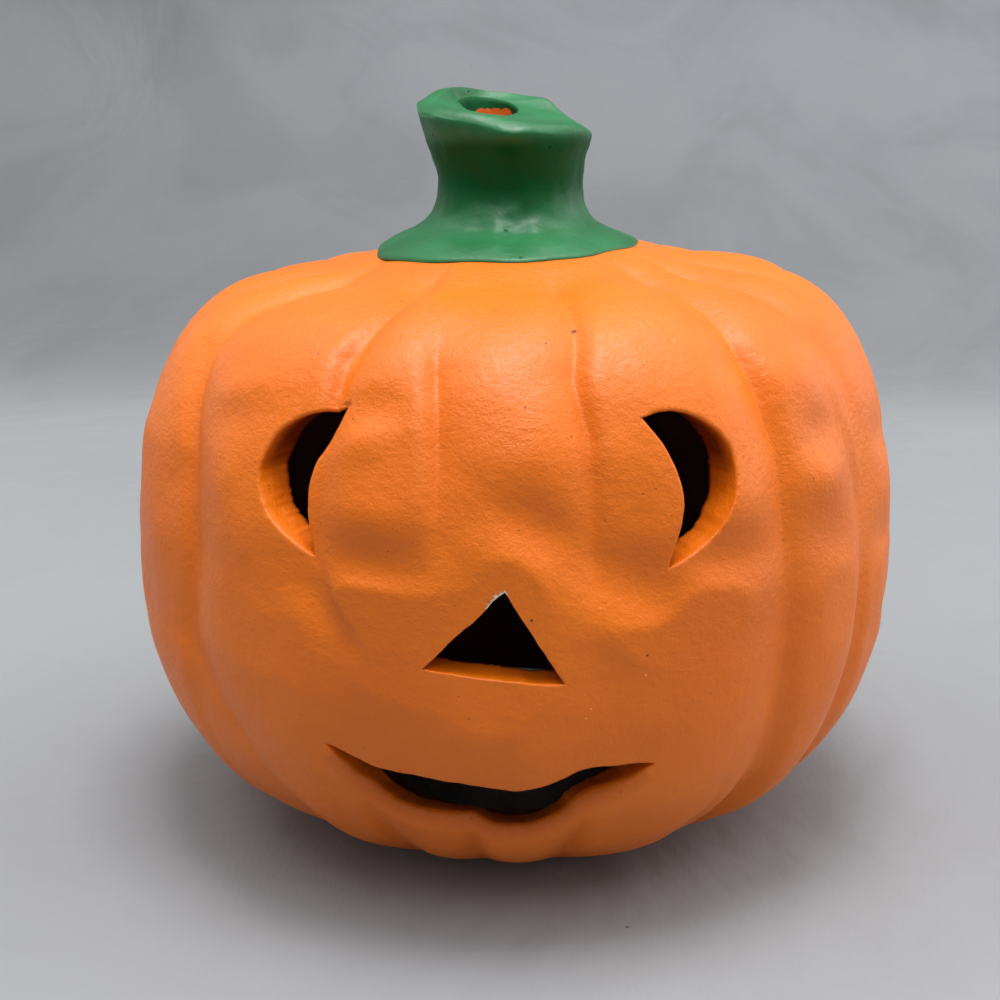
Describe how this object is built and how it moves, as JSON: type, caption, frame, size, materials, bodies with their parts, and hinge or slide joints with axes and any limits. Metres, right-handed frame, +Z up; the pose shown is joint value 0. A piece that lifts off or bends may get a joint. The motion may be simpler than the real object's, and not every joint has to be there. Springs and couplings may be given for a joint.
{
  "type": "jack-o-lantern tea light holder",
  "caption": "Hollow ceramic pumpkin with a carved face, open foot and vented green stem that stands over a tea light.",
  "frame": {"origin": "centre of the foot ring on the surface that the pumpkin and the tea light stand on", "axes": "+Z up through the pumpkin's axis, -Y towards the carved face, +X to the right of a viewer who looks at the face"},
  "size_m": [0.1409, 0.1407, 0.1341],
  "materials": {
    "orange_painted_ceramic": "satin orange paint on slip-cast bisque",
    "green_painted_ceramic": "semi-gloss green paint on slip-cast bisque",
    "cup_aluminium": "bright pressed foil",
    "wax": "translucent paraffin wax",
    "sustainer_tinplate": "tinplate",
    "wick_cotton": "waxed braided cotton"
  },
  "bodies": {
    "tea_light": {"tealight_cup": "cup_aluminium", "tealight_wax": "wax", "wick_sustainer": "sustainer_tinplate", "wick": "wick_cotton"},
    "pumpkin": {"pumpkin_shell": "orange_painted_ceramic", "stem": "green_painted_ceramic"}
  },
  "joints": [
    {"name": "pumpkin_lift", "type": "slide", "parent": "tea_light", "child": "pumpkin", "axis": [0, 0, 1], "range_m": [0, 0.12]}
  ]
}
